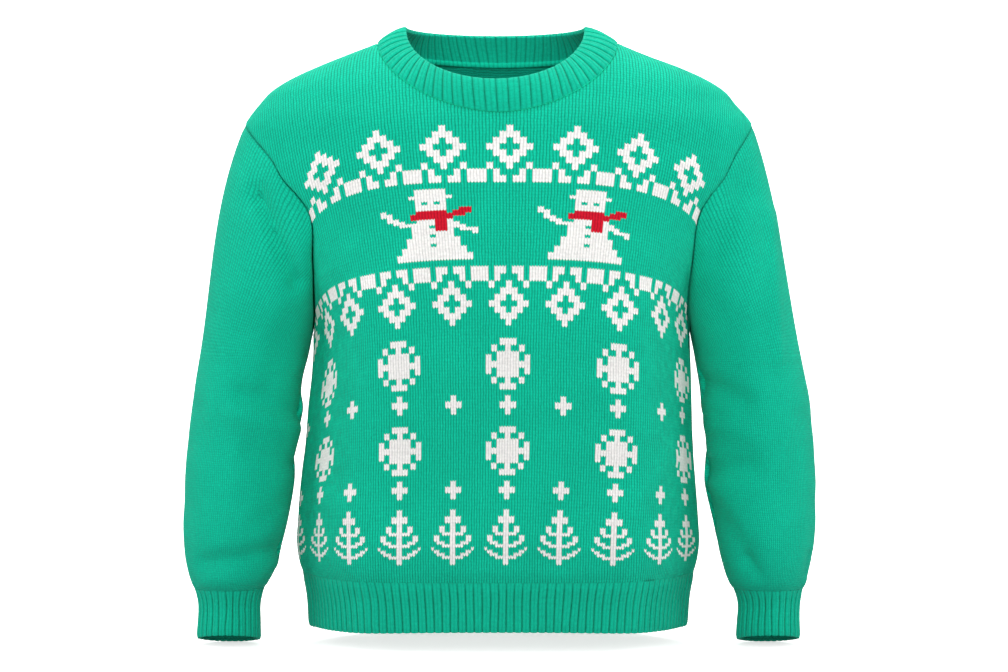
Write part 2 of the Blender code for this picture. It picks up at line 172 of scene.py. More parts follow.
FRONT, BACK = -1, 1
LEFT, RIGHT = -1, 1
SEAM, KNITTED_ON = 0.3, 0.06  # between linked pieces, and between a band and the cloth it grows from
NECK, SHOULDER, UNDERARM, BODY_END = 2.0, -88.0, -320.0, -582.0
FRONT_NECK_DROP, BACK_NECK_DROP = 85.0, 17.0
NECK_CURVE = 1.75  # 2 is a half ellipse
TORSO_ENDS, SHOULDERS_START = -320.0, -200.0
SAMPLES = 400
WALL, EDGE_WALL = 2.3, 0.7  # the panels thin out towards the seams
EDGE_REACH = 6.0
SEAM_DIP, SEAM_DIP_WIDE = 1.1, 2.2
WELD = 0.01
NEARLY_SIDE, A_LITTLE = 0.985, 0.004  # shares of the half width: where slopes are last read, and their step
WALE = 0.25  # how proud the middle of a stitch stands, and how deep its borders lie


def table(names, *rows):
    """The columns of a table by name."""
    return dict(zip(names.split(), np.array(rows, float).T))


BODY = table(
    "height left right front back square",
    (-634.5, 210, 207, 115, 99, 2.4),
    (-600.0, 213, 210.5, 118, 101.5, 2.4),
    (-582.0, 217.5, 215, 121.5, 104.5, 2.4),
    (-572.0, 221, 218, 124.5, 107, 2.4),
    (-555.0, 224, 221, 127, 109, 2.4),
    (-520.0, 223, 220, 127, 107, 2.4),
    (-480.0, 220, 217, 126, 103, 2.4),
    (-440.0, 215, 214, 127, 101, 2.4),
    (-400.0, 212, 213, 129, 103, 2.4),
    (-360.0, 208, 212, 131, 108, 2.4),
    (-320.0, 207, 211, 132, 112, 2.4),
    (-280.0, 213, 214, 131, 115, 2.4),
    (-240.0, 224, 223, 128, 116, 2.3),
    (-190.0, 247, 245, 121, 116, 2.1),
    (-150.0, 290, 284, 113, 114, 2.0),
    (-120.0, 290, 286, 106, 111, 2.0),
    (-85.0, 279, 277, 97, 106, 2.0),
    (-65.0, 264, 260, 87, 102, 2.0),
    (-52.0, 252, 249, 80, 98, 2.0),
    (-38.5, 231, 228, 72, 93, 2.0),
    (-25.0, 202, 198, 63, 87, 2.0),
    (-12.0, 170, 163, 54, 80, 2.0),
    (-5.0, 152, 146, 49, 75, 2.0),
    (2.0, 134, 130, 44, 70, 2.0),
)
TORSO = table(
    "share deep",
    (0.00, 1.000),
    (0.30, 0.994),
    (0.50, 0.972),
    (0.60, 0.942),
    (0.70, 0.873),
    (0.80, 0.702),
    (0.90, 0.430),
    (0.95, 0.240),
    (0.99, 0.075),
    (1.00, 0.000),
)
ARMHOLE = table(
    "up left right",
    (0.00, 1.000, 1.000),
    (0.17, 0.950, 0.965),
    (0.35, 0.897, 0.940),
    (0.56, 0.829, 0.885),
    (0.67, 0.806, 0.855),
    (0.80, 0.836, 0.878),
    (0.91, 0.922, 0.938),
    (1.00, 1.000, 1.000),
)

# Folds: face, the two ends as seen from the front, half width and depth. A ridge has a negative depth.
BODY_FOLDS = table(
    "face out1 height1 out2 height2 wide deep",
    (FRONT, 165, -300, 168, -425, 15, -3),
    (FRONT, -188, -320, -190, -470, 14, 3),
    (FRONT, 120, -530, 178, -455, 16, -2.5),
    (FRONT, -150, -250, -196, -300, 12, 1.5),
    (FRONT, 150, -255, 194, -300, 12, 1.5),
    (FRONT, -120, -545, -175, -500, 14, -1.5),
    (FRONT, -60, -556, 70, -560, 11, 1.2),
    (FRONT, 190, -470, 196, -560, 10, 2),
    (FRONT, -206, -480, -200, -560, 9, 1.8),
    (FRONT, -118, -128, -186, -176, 17, 1.4),
    (FRONT, 118, -128, 186, -180, 17, 1.4),
    (BACK, -176, -300, -92, -405, 20, 4),
    (BACK, 172, -312, 100, -420, 20, 4),
    (BACK, -60, -470, 90, -498, 20, 3),
    (BACK, -188, -262, -120, -318, 13, 2.5),
    (BACK, 186, -262, 128, -322, 13, 2.5),
    (BACK, -150, -520, -40, -548, 13, -2),
    (BACK, 40, -540, 168, -520, 13, 2),
    (BACK, -96, -60, -150, -150, 18, 2),
    (BACK, 92, -60, 146, -150, 18, 2),
)

# How the knit lies on the front: the height of each row at its middle column, the place of the middle column
# and the width of its stitches, and how far the rows droop towards the shoulders and armholes.
ROWS = table(
    "row height",
    (0, -582.0),
    (6, -562.9),
    (24, -504.8),
    (27, -493.8),
    (33, -474.7),
    (35, -468.4),
    (51, -417.4),
    (55, -404.6),
    (61, -384.6),
    (63, -378.3),
    (79, -324.7),
    (83, -311.0),
    (97, -264.3),
    (101, -249.0),
    (103, -241.4),
    (126, -166.4),
    (128, -159.7),
    (132, -145.4),
    (146, -98.2),
    (160, -53.5),
    (172, -20.0),
    (185, 15.0),
    (200, 60.0),
    (215, 105.0),
)
STITCHES = table(
    "height middle left right",
    (-582, 6.5, 2.79, 2.80),
    (-535, 6.8, 2.79, 2.80),
    (-485, 7.9, 2.82, 2.85),
    (-396, 8.9, 2.85, 2.92),
    (-355, 8.9, 2.88, 2.93),
    (-288, 10.0, 2.98, 2.98),
    (-205, 10.5, 3.27, 3.27),
    (-121, 11.1, 3.57, 3.57),
    (-60, 11.5, 3.75, 3.75),
    (0, 12.0, 3.85, 3.85),
)
DROOP = table(
    "height left right left_power right_power bends",
    (-582, 0.0, 0.0, 2.5, 1.8, 1.30),
    (-532, 3.2, 6.0, 2.5, 1.7, 1.30),
    (-444, 4.5, 8.0, 3.5, 2.0, 1.30),
    (-396, 6.0, 8.5, 3.6, 1.7, 1.30),
    (-350, 10.0, 12.5, 3.0, 1.8, 1.30),
    (-287, 11.8, 14.0, 2.65, 2.1, 1.28),
    (-200, 20.0, 22.0, 3.0, 3.0, 1.25),
    (-121, 26.0, 28.5, 4.3, 3.0, 1.05),
    (-60, 30.0, 32.0, 3.6, 3.6, 1.00),
    (110, 30.0, 32.0, 3.6, 3.6, 1.00),
)
DROOP_AT = 60.0  # the stitch at which the droop is as the table says; past "bends" times this it runs straight
SIDE_STITCH = {LEFT: 104.0, RIGHT: 94.0}  # the stitches at the side seams
LAST_STITCH = 112.0
LAST_ROW = 212
YOKE_NARROWS = {LEFT: -0.06, RIGHT: -0.118}
YOKE_STARTS = -190.0

# The colour-work, charted. W is white, R is red, and a dot is the green ground.
DIAMOND = """
    ...W...
    ..WWW..
    .WW.WW.
    WW...WW
    .WW.WW.
    ..WWW..
    ...W..."""
BORDER_DOWN = """
    ..W.....W.
    WW.W...W.W
    WW.WW.WW.W"""
BORDER_UP = """
    WW.WW.WW.W
    WW.W...W.W
    ..W.....W."""
PLUS = """
    .W.
    WWW
    .W."""
MEDALLION = """
    .....WWWWWW.....
    .....WWWWWW.....
    ..WW...WW...WW..
    ..WW...WW...WW..
    ....WWWWWWWW....
    WW..WWWWWWWW..WW
    WW..WWWWWWWW..WW
    WWWWWWWWWWWWWWWW
    WWWWWWWWWWWWWWWW
    WW..WWWWWWWW..WW
    WW..WWWWWWWW..WW
    ....WWWWWWWW....
    ..WW...WW...WW..
    ..WW...WW...WW..
    .....WWWWWW.....
    .....WWWWWW....."""
TREE = """
    .......WW.......
    .......WW.......
    .....WWWWWW.....
    .....WWWWWW.....
    .......WW.......
    ...WW..WW..WW...
    ...WW..WW..WW...
    ....WWWWWWWW....
    .WW....WW....WW.
    .WW....WW....WW.
    ..WWW..WW..WWW..
    ....WWWWWWWW....
    W......WW......W
    .WW....WW....WW.
    ..WWW..WW..WWW..
    ....WWWWWWWW....
    .......WW.......
    .......WW......."""
SNOWMAN = """
    ......WWWWW.....
    ......WWWWW.....
    .....WWWWWWW....
    ......WWWWW.....
    ......W.W.W.....
    ......WWWWW.....
    W.....WWWWW..RR.
    WW....RRRRR.RRR.
    .W...RRRRRRRRR..
    .WW..RRRRRRR....
    ..WW..WWWRRW....
    ...WWWWWWRRWW...
    .....WWW.RRWWW..
    .....WWWWRRW.WWW
    .....WWWWWWW...W
    .....WWW.WWW....
    ....WWWWWWWWW...
    ....WWWWWWWWW...
    ....WWWW.WWWW...
    ...WWWWWWWWWWW..
    ...WWWWWWWWWWW..
    ..WWWWWWWWWWWWW.
    ..WWWWWWWWWWWWW."""
EVERY_20 = range(-100, 101, 20)
EVERY_40 = range(-80, 81, 40)
MOTIFS = (  # the chart, its lowest row, its middle stitches, and how many stitches and rows each mark takes
    (TREE, 6, EVERY_20, 1, 1),
    (PLUS, 27, EVERY_20, 2, 2),
    (MEDALLION, 35, EVERY_40, 1, 1),
    (PLUS, 55, EVERY_20, 2, 2),
    (MEDALLION, 63, EVERY_40, 1, 1),
    (DIAMOND, 83, EVERY_20, 2, 2),
    (BORDER_UP, 95, EVERY_20, 2, 2),
    (SNOWMAN, 103, (-25, 26), 2, 1),
    (BORDER_DOWN, 128, EVERY_20, 2, 2),
    (DIAMOND, 132, EVERY_20, 2, 2),
)
MARKS = {"W": 1, "R": 2}


def smooth(columns, name, at, key="height"):
    """One column, read between its rows along a smooth curve."""
    x, y = columns[key], columns[name]
    slope = np.gradient(y, x)
    at = np.clip(at, x[0], x[-1])
    i = np.clip(np.searchsorted(x, at) - 1, 0, len(x) - 2)
    step = x[i + 1] - x[i]
    t = (at - x[i]) / step
    start = (1 + 2 * t) * (1 - t) ** 2 * y[i] + t * (1 - t) ** 2 * step * slope[i]
    end = t**2 * (3 - 2 * t) * y[i + 1] - t**2 * (1 - t) * step * slope[i + 1]
    return start + end


def eased(t):
    t = np.clip(t, 0, 1)
    return t**2 * (3 - 2 * t)


def unit(vectors):
    return vectors / np.maximum(np.linalg.norm(vectors, axis=-1, keepdims=True), 1e-9)


def by_side(side, left, right):
    return np.where(side < 0, left, right)


def body_half(height, side):
    return by_side(side, smooth(BODY, "left", height), smooth(BODY, "right", height))


def on_body(share, height, face):
    """A point of the body's plain form. Share is how far out it lies, -1 at the left and 1 at the right."""
    square = smooth(BODY, "square", height)
    deep = smooth(BODY, "front" if face == FRONT else "back", height)
    slanted = smooth(TORSO, "deep", np.abs(share), "share")
    rounded = np.maximum(1 - np.abs(share) ** square, 0) ** (1 / square)
    turned = eased((height - TORSO_ENDS) / (SHOULDERS_START - TORSO_ENDS))
    y = face * deep * (slanted + (rounded - slanted) * turned)
    return np.stack([share * body_half(height, share), y, height + 0 * share], axis=-1)


def facing(share, height, face):
    """The direction straight out of the body's plain form."""
    share = np.clip(share, -NEARLY_SIDE, NEARLY_SIDE)
    over = on_body(share + A_LITTLE, height, face) - on_body(share - A_LITTLE, height, face)
    up = on_body(share, height + 1, face) - on_body(share, height - 1, face)
    return unit(np.cross(over, up)) * -face


def folded(points, folds, side, face):
    """How deep the folds press each point in. Face is an array or one value."""
    push = np.zeros(points.shape[:-1])
    seen = np.stack([side * points[..., 0], points[..., 2]], axis=-1)
    for of_face, out1, height1, out2, height2, wide, deep in zip(*folds.values()):
        start, line = np.array([out1, height1]), np.array([out2 - out1, height2 - height1])
        along = np.clip(((seen - start) @ line) / (line @ line), 0, 1)
        apart = np.linalg.norm(seen - start - along[..., None] * line, axis=-1)
        push += np.where(face == of_face, deep * np.exp(-((apart / wide) ** 2)), 0)
    return push


LEVELS = np.linspace(BODY_END, NECK, 180)


def arc_table(side, face):
    """For each level, the arc from the middle to the side and the share at each equal step along it."""
    share = np.sin(np.linspace(0, np.pi / 2, SAMPLES))
    totals, shares = [], []
    for level in LEVELS:
        line = on_body(side * share, np.full(SAMPLES, level), face)
        arc = np.concatenate([[0], np.cumsum(np.linalg.norm(np.diff(line, axis=0), axis=1))])
        totals.append(arc[-1])
        shares.append(np.interp(np.linspace(0, arc[-1], SAMPLES), arc, share))
    return np.array(totals), np.array(shares)


ARCS = {(side, face): arc_table(side, face) for side in (LEFT, RIGHT) for face in (FRONT, BACK)}


def whole_arc(height, side, face):
    left, right = (np.interp(height, LEVELS, ARCS[which, face][0]) for which in (LEFT, RIGHT))
    return by_side(side, left, right)


def share_at(arc, height, side, face):
    """The share of the half width that lies this far round the body from its middle."""
    level = np.interp(height, LEVELS, np.arange(len(LEVELS)))
    low = np.minimum(level.astype(int), len(LEVELS) - 2)
    step = np.clip(arc / whole_arc(height, side, face), 0, 1) * (SAMPLES - 1)
    near = np.minimum(step.astype(int), SAMPLES - 2)
    found = []
    for which in (LEFT, RIGHT):
        shares = ARCS[which, face][1]
        lower = shares[low, near] + (shares[low, near + 1] - shares[low, near]) * (step - near)
        upper = shares[low + 1, near] + (shares[low + 1, near + 1] - shares[low + 1, near]) * (step - near)
        found.append(lower + (upper - lower) * (level - low))
    return by_side(side, *found)


def droop(stitch, height):
    """How much lower than at the middle column a row lies."""
    far = by_side(stitch, smooth(DROOP, "left", height), smooth(DROOP, "right", height))
    power = by_side(stitch, smooth(DROOP, "left_power", height), smooth(DROOP, "right_power", height))
    out = np.abs(stitch) / DROOP_AT
    bends = smooth(DROOP, "bends", height)
    bent = np.minimum(out, bends)
    return far * (bent**power + (out - bent) * power * bends ** (power - 1))


def around(stitch, height, face):
    """How far round the body from its middle a stitch lies, negative to the left."""
    side = by_side(stitch, LEFT, RIGHT)
    last = by_side(stitch, SIDE_STITCH[LEFT], SIDE_STITCH[RIGHT])
    narrows = by_side(stitch, YOKE_NARROWS[LEFT], YOKE_NARROWS[RIGHT])

    def wide_at(level):
        return by_side(stitch, smooth(STITCHES, "left", level), smooth(STITCHES, "right", level))

    torso = np.minimum(height, UNDERARM)
    to_seam = side * whole_arc(torso, side, face) - smooth(STITCHES, "middle", torso)
    fit = to_seam / (side * last * wide_at(torso)) - 1
    fit = fit + (narrows - fit) * eased((height - UNDERARM) / (YOKE_STARTS - UNDERARM))
    return smooth(STITCHES, "middle", height) + stitch * wide_at(height) * (1 + fit * (stitch / last) ** 2)


def edge_share(height, side):
    """How far out the panel's edge lies: the side seam, the armhole, then the shoulder."""
    up = np.clip((height - UNDERARM) / (SHOULDER - UNDERARM), 0, 1)
    edge = by_side(side, smooth(ARMHOLE, "left", up, "up"), smooth(ARMHOLE, "right", up, "up"))
    return np.where((height > UNDERARM) & (height < SHOULDER), edge, 1.0)


def neck_height(out, side, face):
    """The height of the neckline this far out from the middle."""
    drop = FRONT_NECK_DROP if face == FRONT else BACK_NECK_DROP
    share = np.minimum(out / body_half(NECK, side), 1)
    return NECK - drop * (1 - share**NECK_CURVE) ** (1 / NECK_CURVE)


def lay_panel(stitch, row, face, inside):
    """The panel's points at these stitches and rows, and which of them were cut back to the panel's edge."""
    middle = smooth(ROWS, "height", row, "row")
    height = np.clip(middle - droop(stitch, middle), BODY_END, NECK)
    arc = around(stitch, height, face)
    side = by_side(arc, LEFT, RIGHT)
    share = share_at(np.abs(arc), height, side, face)
    edge = edge_share(height, side)
    spare = whole_arc(height, side, face) - np.abs(arc)
    cut = (share >= edge) | (spare <= 0)
    to_edge = np.where(edge < 1, (edge - share) * body_half(height, side), spare)
    share = np.minimum(share, edge)

    out = share * body_half(height, side)
    in_neck = out < body_half(NECK, side)
    neckline = neck_height(out, side, face)
    over = in_neck & (height > neckline)
    to_edge = np.where(in_neck, np.minimum(to_edge, neckline - height), to_edge)
    height = np.where(over, neckline, height)
    share = np.where(over, np.minimum(out / body_half(height, side), 1), share)
    cut = cut | over

    points = on_body(side * share, height, face)
    push = folded(points, BODY_FOLDS, RIGHT, face)
    to_edge = np.clip(to_edge, 0, None)
    push += SEAM_DIP * np.exp(-((np.minimum(to_edge, height - BODY_END + 3) / SEAM_DIP_WIDE) ** 2))
    if inside:
        reach = np.clip(np.minimum(to_edge, height - BODY_END) / EDGE_REACH, 0, 1)
        push += EDGE_WALL + (WALL - EDGE_WALL) * reach
    else:
        push += np.where(stitch % 1 == 0, WALE, -WALE)
    points = points - push[..., None] * facing(side * share, height, face)
    points[..., 1] = face * np.maximum(face * points[..., 1], 0) + face * SEAM / 2
    return points, cut


def grid_faces(rows, columns, first, ring, keep=None):
    """The faces of a grid of points, as the numbers of their corners."""
    r, c = np.meshgrid(np.arange(rows - 1), np.arange(columns if ring else columns - 1), indexing="ij")
    after = (c + 1) % columns
    low, high = r * columns, (r + 1) * columns
    faces = np.stack([low + c, low + after, high + after, high + c], -1)
    corners = np.stack([r, c, r, c + 1, r + 1, c + 1, r + 1, c], -1).reshape(*r.shape, 4, 2)
    if keep is None:
        keep = np.ones(r.shape, bool)
    return faces[keep] + first, corners[keep]


def welded(points, faces, corners):
    """The points with those that coincide as one, the faces left, their corners' values and their numbers."""
    _, first, number = np.unique(np.round(points / WELD), axis=0, return_index=True, return_inverse=True)
    kept_faces, kept_corners, kept = [], [], []
    for i, face in enumerate(number.ravel()[faces].tolist()):
        own = [k for k in range(len(face)) if face[k] != face[k - 1]]
        if len({face[k] for k in own}) > 2:
            kept_faces.append([face[k] for k in own])
            kept_corners.append(corners[i][own])
            kept.append(i)
    return points[first], kept_faces, kept_corners, kept


def edge_loop(faces):
    """The longest way round the open edge of some faces."""
    ends = {}
    for face in faces:
        for a, b in zip(face, face[1:] + face[:1]):
            if (b, a) in ends:
                del ends[b, a]
            else:
                ends[a, b] = True
    after = {}
    for a, b in ends:
        after.setdefault(a, []).append(b)
    loops = []
    while after:
        at = start = next(iter(after))
        loop = []
        while at in after:
            loop.append(at)
            ways = after[at]
            onward = ways.pop()
            if not ways:
                del after[at]
            at = onward
        loops.append(loop)
    return max(loops, key=len)


def from_corner(loop, points):
    """The loop again, from its lowest point at the left, and how far round it each point lies."""
    place = points[loop]
    start = int(np.argmin(place[:, 2] * 2 + place[:, 0]))
    loop = loop[start:] + loop[:start]
    place = points[loop + loop[:1]]
    steps = np.concatenate([[0], np.cumsum(np.linalg.norm(np.diff(place, axis=0), axis=1))])
    return loop + loop[:1], steps / steps[-1]


def join_edges(outer, inner, points):
    """Faces that join two open edges, each given in the direction of its own faces."""
    a, at_a = from_corner(outer, points)
    b, at_b = from_corner(inner[::-1], points)
    i = j = 0
    faces = []
    while i < len(a) - 1 or j < len(b) - 1:
        if j == len(b) - 1 or (i < len(a) - 1 and at_a[i + 1] <= at_b[j + 1]):
            faces.append((a[i + 1], a[i], b[j]))
            i += 1
        else:
            faces.append((b[j], b[j + 1], a[i]))
            j += 1
    return faces


def make_mesh(name, points, faces, corners, slots, materials):
    """An object from points in millimetres. Corners are each face's own u and v, slots its material."""
    faces = [tuple(face) for face in faces]
    mesh = bpy.data.meshes.new(name)
    mesh.from_pydata(points * METRE, [], faces)
    around_each = mesh.uv_layers.new(name="knit")
    around_each.data.foreach_set("uv", np.concatenate([np.ravel(c) for c in corners]).astype(np.float32))
    mesh.polygons.foreach_set("material_index", np.asarray(slots, np.int32))
    for material in materials:
        mesh.materials.append(material)
    volume = 0.0
    for face in faces:
        p = points[list(face)]
        for k in range(1, len(face) - 1):
            volume += float(np.dot(p[0], np.cross(p[k], p[k + 1])))
    if volume < 0:
        mesh.flip_normals()
    piece = bpy.data.objects.new(name, mesh)
    bpy.context.collection.objects.link(piece)
    bpy.ops.object.select_all(action="DESELECT")
    piece.select_set(True)
    bpy.context.view_layer.objects.active = piece
    bpy.ops.object.mode_set(mode="EDIT")
    bpy.ops.mesh.select_all(action="SELECT")
    bpy.ops.mesh.remove_doubles(threshold=2e-6)
    bpy.ops.mesh.dissolve_degenerate(threshold=1e-6)
    bpy.ops.object.mode_set(mode="OBJECT")
    bpy.ops.object.shade_smooth_by_angle(angle=math.radians(60))
    return piece


def dress(piece, node):
    """The piece stands for a node of the solids: that node's part is hidden, and the piece hangs from the root.
    """
    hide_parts(node)
    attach(piece, "root")


def colour_chart():
    """The yarn of each stitch of the front, by row and by stitch from the left edge."""
    chart = np.zeros((LAST_ROW + 1, int(2 * LAST_STITCH)), int)
    for picture, row, middles, wide, tall in MOTIFS:
        lines = picture.split()
        for middle in middles:
            for j, line in enumerate(reversed(lines)):
                for i, mark in enumerate(line):
                    first = int(middle + wide * (i - len(line) // 2) - (wide - 1) + LAST_STITCH)
                    if mark in MARKS and 0 <= first < chart.shape[1] - wide:
                        chart[row + j * tall : row + (j + 1) * tall, first : first + wide] = MARKS[mark]
    return chart


def panel_side(face, stitch, row, inside):
    """One side of a panel as welded points, faces, their corners' u and v, and each face's stitch and row."""
    stitches, rows = np.meshgrid(stitch, row)
    if not inside:
        rows = rows + np.where((stitches % 1 == 0) & (rows > 0), 0.5, 0)
    points, cut = lay_panel(stitches, rows, face, inside)
    gone = cut[:-1, :-1] & cut[1:, :-1] & cut[:-1, 1:] & cut[1:, 1:]
    faces, corners = grid_faces(*points.shape[:2], 0, False, ~gone)
    uv = np.stack([stitches[corners[..., 0], corners[..., 1]], rows[corners[..., 0], corners[..., 1]]], -1)
    points, faces, uv, kept = welded(points.reshape(-1, 3), faces, uv)
    return points, faces, uv, corners[kept, 0]


def make_panel(name, face, row_step, chart):
    stitch = np.arange(-LAST_STITCH, LAST_STITCH + 0.5, 0.5)
    row = np.arange(0, LAST_ROW + 1, row_step, dtype=float)
    outer, faces, uv, places = panel_side(face, stitch, row, False)
    slots = np.zeros(len(faces), int) if chart is None else chart[places[:, 0], places[:, 1] // 2]
    inner, inner_faces, inner_uv, _ = panel_side(face, stitch[::8], row[:: 4 // min(row_step, 4)], True)
    inner_faces = [[k + len(outer) for k in inner_face[::-1]] for inner_face in inner_faces]
    inner_uv = [places[::-1] for places in inner_uv]
    points = np.concatenate([outer, inner])
    rim = join_edges(edge_loop(faces), edge_loop(inner_faces), points)
    used = np.unique(np.concatenate([np.ravel(k) for k in faces + inner_faces]))
    number = np.zeros(len(points), int)
    number[used] = np.arange(len(used))
    all_faces = [number[list(k)].tolist() for k in faces + inner_faces + rim]
    all_uv = uv + inner_uv + [np.zeros((3, 2))] * len(rim)
    all_slots = np.concatenate([slots, np.full(len(inner_faces), 3), np.zeros(len(rim), int)])
    materials = (GREEN_YARN, WHITE_YARN, RED_YARN, GREEN_PURL)
    return make_mesh(name, points[used], all_faces, all_uv, all_slots, materials)


front = make_panel("front", FRONT, 1, colour_chart())
dress(front, "front_panel")
back = make_panel("back", BACK, 3, None)
dress(back, "back_panel")

# ------------------------------------------------------------------------------
# Sleeves
# ------------------------------------------------------------------------------
# Each sleeve is one knitted panel, linked into a tube under the arm and set into the armhole round its cap. It
# hangs full, with soft creases below the shoulder, at the elbow and where it gathers into the cuff.

BICEPS, BELOW_BICEPS, SLEEVE_END = -345.0, -365.0, -597.0
SHOULDER_ROUND = {LEFT: 60.0, RIGHT: 36.0}
SLEEVE_MIDDLE = -10.0
SLEEVE_STITCHES = 156
SLEEVE_COLUMNS = 2 * SLEEVE_STITCHES
SLEEVE_WALE = 0.06
SLEEVE_ROW, ROW_TALL = 2.5, 3.15
CAP_ROWS = 30
SLEEVE_STEP = 4.2
LINING_STEP = 2  # outer rows to each inner one
INTO_BODY, BELOW_SEAM = 0.96, 5.0  # a place just inside the armhole's seam: its share of that, and how far below
CUFF_DIP = 0.2  # how deep the seam at the cuff lies, as a share of the armhole's
SLEEVE = table(
    "height left_out left_in right_out right_in deep forward",
    (-597.0, 334, 257.5, 332.8, 255.2, 38, 24),
    (-593.0, 336, 254.8, 334.8, 252.5, 40.5, 24),
    (-585.0, 339, 250, 337.8, 249, 45, 23),
    (-570.0, 343, 243, 341.5, 244.5, 51.5, 21),
    (-547.0, 346, 238, 345, 239, 57.5, 18),
    (-525.0, 347, 233, 347, 235, 60, 15),
    (-503.0, 346, 229, 347, 230, 61, 12),
    (-481.0, 346, 226, 348, 226, 62, 9),
    (-459.0, 345, 225, 347, 227, 63, 7),
    (-437.0, 343, 222, 346, 227, 64, 5),
    (-415.0, 341, 219, 344, 225, 65, 4),
    (-400.0, 339, 217, 343, 223, 66, 3),
    (-385.0, 337, 219, 341, 222, 66, 2),
    (-370.0, 335, 218, 338, 220, 66, 1),
    (-345.0, 331, 212, 333, 216, 66, 0),
)
SLEEVE_FOLDS = {
    LEFT: table(
        "face out1 height1 out2 height2 wide deep",
        (FRONT, 262, -168, 218, -262, 10, 10),
        (BACK, 262, -165, 226, -236, 18, 6),
        (FRONT, 214, -408, 276, -386, 13, 7),
        (FRONT, 216, -420, 282, -405, 14, -4),
        (BACK, 216, -440, 290, -452, 15, 5),
        (FRONT, 317, -566, 243, -555, 11, 5.5),
        (BACK, 330, -540, 262, -556, 13, 5),
        (FRONT, 228, -300, 252, -380, 11, 2),
        (FRONT, 226, -462, 268, -446, 10, 2.5),
        (FRONT, 232, -500, 262, -524, 10, 1.8),
        (FRONT, 330, -400, 316, -450, 11, 1.6),
        (FRONT, 262, -584, 318, -588, 7, -1.2),
        (BACK, 236, -380, 262, -410, 11, 2.5),
        (BACK, 306, -500, 266, -520, 11, 2),
        (BACK, 250, -572, 320, -576, 8, -2),
    ),
    RIGHT: table(
        "face out1 height1 out2 height2 wide deep",
        (FRONT, 262, -165, 228, -238, 16, 6),
        (BACK, 262, -165, 226, -236, 18, 6),
        (FRONT, 220, -372, 262, -392, 13, 6),
        (FRONT, 222, -470, 268, -462, 13, 6),
        (BACK, 224, -430, 292, -446, 15, 5),
        (FRONT, 226, -500, 268, -560, 12, 4),
        (BACK, 326, -536, 258, -552, 13, 5),
        (FRONT, 296, -190, 302, -345, 8, -3.5),
        (FRONT, 232, -418, 268, -428, 10, -2),
        (FRONT, 264, -562, 277, -576, 7, 4),
        (FRONT, 337, -560, 334, -580, 5, 3),
        (FRONT, 330, -410, 318, -462, 11, 1.6),
        (BACK, 238, -372, 268, -398, 11, 2.5),
        (BACK, 310, -486, 270, -508, 11, 2),
        (BACK, 256, -574, 322, -572, 8, -2),
    ),
}


def across(vectors, along):
    """What is left of each vector once its part along another direction is taken off."""
    return vectors - along * (vectors * along).sum(axis=-1, keepdims=True)


def outward(grid, ring):
    """The direction out of the cloth at each point of a grid of rows by columns."""
    if ring:
        round_it = np.roll(grid, -1, axis=1) - np.roll(grid, 1, axis=1)
    else:
        round_it = np.gradient(grid, axis=1)
    out = unit(np.cross(round_it, np.gradient(grid, axis=0)))
    middle = grid.mean(axis=1, keepdims=True)
    return out if (out * (grid - middle)).sum() > 0 else -out


def sleeve_ring(height, side, turn):
    word = "left" if side == LEFT else "right"
    out, inside = smooth(SLEEVE, word + "_out", height), smooth(SLEEVE, word + "_in", height)
    deep, forward = smooth(SLEEVE, "deep", height), smooth(SLEEVE, "forward", height)
    x = side * ((out + inside) / 2 + (out - inside) / 2 * np.cos(turn))
    return np.stack([x, -forward - deep * np.sin(turn), height + 0 * turn], axis=-1)


def armhole_loop(side, turn):
    """The armhole's seam from the shoulder down the front and up the back, and the way into the body."""
    up = (1 + np.cos(turn)) / 2
    height = UNDERARM + (SHOULDER - UNDERARM) * up
    share = smooth(ARMHOLE, "left" if side == LEFT else "right", up, "up")
    loops = []
    for face in (FRONT, BACK):
        seam = on_body(side * share, height, face)
        push = folded(seam, BODY_FOLDS, RIGHT, face)
        seam = seam - push[:, None] * facing(side * share, height, face)
        inner = on_body(side * share * INTO_BODY, height - BELOW_SEAM, face)
        loops.append((seam, inner - seam))
    front_half = (turn <= np.pi)[:, None]
    return tuple(np.where(front_half, a, b) for a, b in zip(*loops))


def tube(name, rows, count, v, slots, materials):
    """A closed ring of cloth from rows of points, outer ones first and then back along the inner side."""
    rows = np.concatenate([rows, rows[:1]])
    v = np.append(v, v[-1])
    high, wide = rows.shape[:2]
    faces, corners = grid_faces(high, wide, 0, True)
    faces = faces % ((high - 1) * wide)
    uv = np.stack([corners[..., 1] * (count / wide), v[corners[..., 0]]], axis=-1)
    slots = slots[corners[:, 0, 0]]
    return make_mesh(name, rows[:-1].reshape(-1, 3), faces.tolist(), list(uv), slots, materials)


